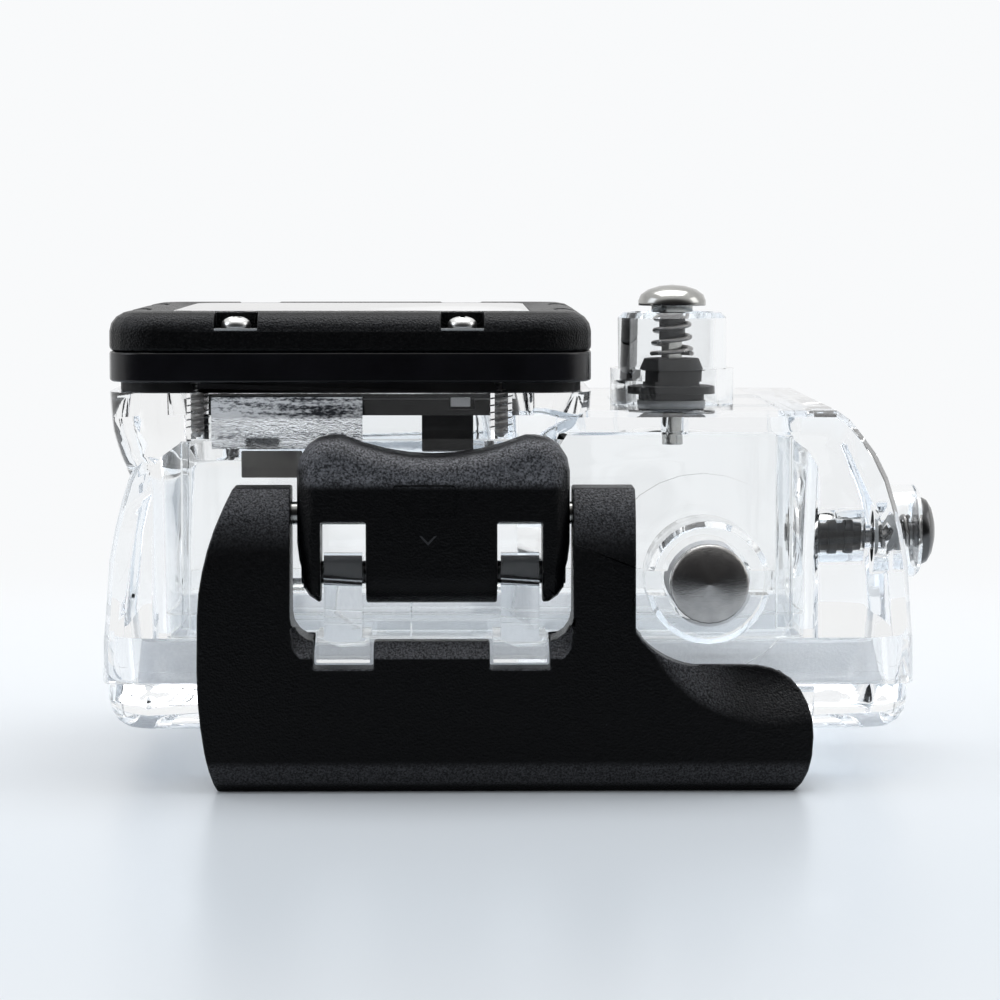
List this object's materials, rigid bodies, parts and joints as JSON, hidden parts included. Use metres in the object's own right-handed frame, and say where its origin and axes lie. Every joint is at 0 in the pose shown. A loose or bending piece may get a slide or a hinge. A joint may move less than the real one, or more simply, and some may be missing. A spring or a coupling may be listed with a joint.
{
  "type": "underwater camera housing",
  "caption": "Clear dive case for a small camera, with a square lens port, sealed push buttons, a hinged rear door and an over-centre latch.",
  "frame": {"origin": "centre of the bounding box's base, on the surface that the case lies on with its lens up", "axes": "+Z the way the lens looks, +X along the width towards the side button, +Y from the camera's top to its bottom"},
  "size_m": [0.076, 0.0714, 0.0435],
  "materials": {
    "clear_plastic": "crystal-clear moulded polycarbonate, polished",
    "lens_glass": "flat clear optical glass",
    "grained_black": "black plastic with a fine spark-eroded grain",
    "gloss_black": "smooth glossy black plastic",
    "black_rubber": "black silicone rubber, matte",
    "grey_rubber": "pale grey silicone rubber, matte",
    "grey_plastic": "grey plastic washer",
    "polished_steel": "polished stainless steel",
    "satin_steel": "stainless steel, turned satin face"
  },
  "bodies": {
    "housing": {"front_shell": "clear_plastic", "lens_gasket": "black_rubber", "lens_frame": "gloss_black", "lens_glass": "lens_glass", "lens_bezel": "grained_black", "light_baffle": "black_rubber", "bezel_screw_1": "polished_steel", "bezel_screw_2": "polished_steel", "bezel_screw_3": "polished_steel", "bezel_screw_4": "polished_steel", "bezel_screw_5": "polished_steel", "bezel_screw_6": "polished_steel", "bezel_screw_7": "polished_steel", "bezel_screw_8": "polished_steel", "frame_screw_1": "polished_steel", "frame_screw_2": "polished_steel", "frame_screw_3": "polished_steel", "frame_screw_4": "polished_steel", "power_washer": "grey_plastic", "power_seal": "black_rubber", "power_spring": "polished_steel", "shutter_washer": "grey_plastic", "shutter_seal": "black_rubber", "shutter_spring": "polished_steel", "side_washer": "grey_plastic", "side_seal": "black_rubber", "side_spring": "polished_steel", "hinge_pin": "polished_steel"},
    "door": {"back_door": "clear_plastic", "door_seal": "grey_rubber"},
    "lever": {"latch_lever": "grained_black", "lever_pin": "polished_steel", "plate_pin": "polished_steel"},
    "plate": {"latch_plate": "grained_black"},
    "power": {"power_button": "polished_steel", "power_clip": "polished_steel"},
    "shutter": {"shutter_button": "satin_steel", "shutter_clip": "polished_steel"},
    "side": {"side_button": "polished_steel", "side_clip": "polished_steel"}
  },
  "joints": [
    {"name": "lever_hinge", "type": "hinge", "parent": "housing", "child": "lever", "pos_m": [0, -0.031, 0.01895], "axis": [1, 0, 0], "range_deg": [0, 100]},
    {"name": "plate_hinge", "type": "hinge", "parent": "lever", "child": "plate", "pos_m": [0, -0.0299, 0.024], "axis": [1, 0, 0], "range_deg": [-250, 0]},
    {"name": "door_hinge", "type": "hinge", "parent": "housing", "child": "door", "pos_m": [0, 0.0232, 0.0029], "axis": [1, 0, 0], "range_deg": [0, 90]},
    {"name": "power_press", "type": "slide", "parent": "housing", "child": "power", "axis": [0, 0, -1], "range_m": [0, 0.0015], "stiffness_N_per_m": 1200, "springref_m": -0.001, "deforming": ["power_spring"]},
    {"name": "shutter_press", "type": "slide", "parent": "housing", "child": "shutter", "axis": [0, 1, 0], "range_m": [0, 0.0015], "stiffness_N_per_m": 1200, "springref_m": -0.001, "deforming": ["shutter_spring"]},
    {"name": "side_press", "type": "slide", "parent": "housing", "child": "side", "axis": [-1, 0, 0], "range_m": [0, 0.0015], "stiffness_N_per_m": 1200, "springref_m": -0.001, "deforming": ["side_spring"]}
  ],
  "couplings": [
    {"joint": "plate_hinge", "follows": "lever_hinge", "ratio": -2.5},
    {"joint": "door_hinge", "follows": "lever_hinge", "ratio": 0.9}
  ]
}
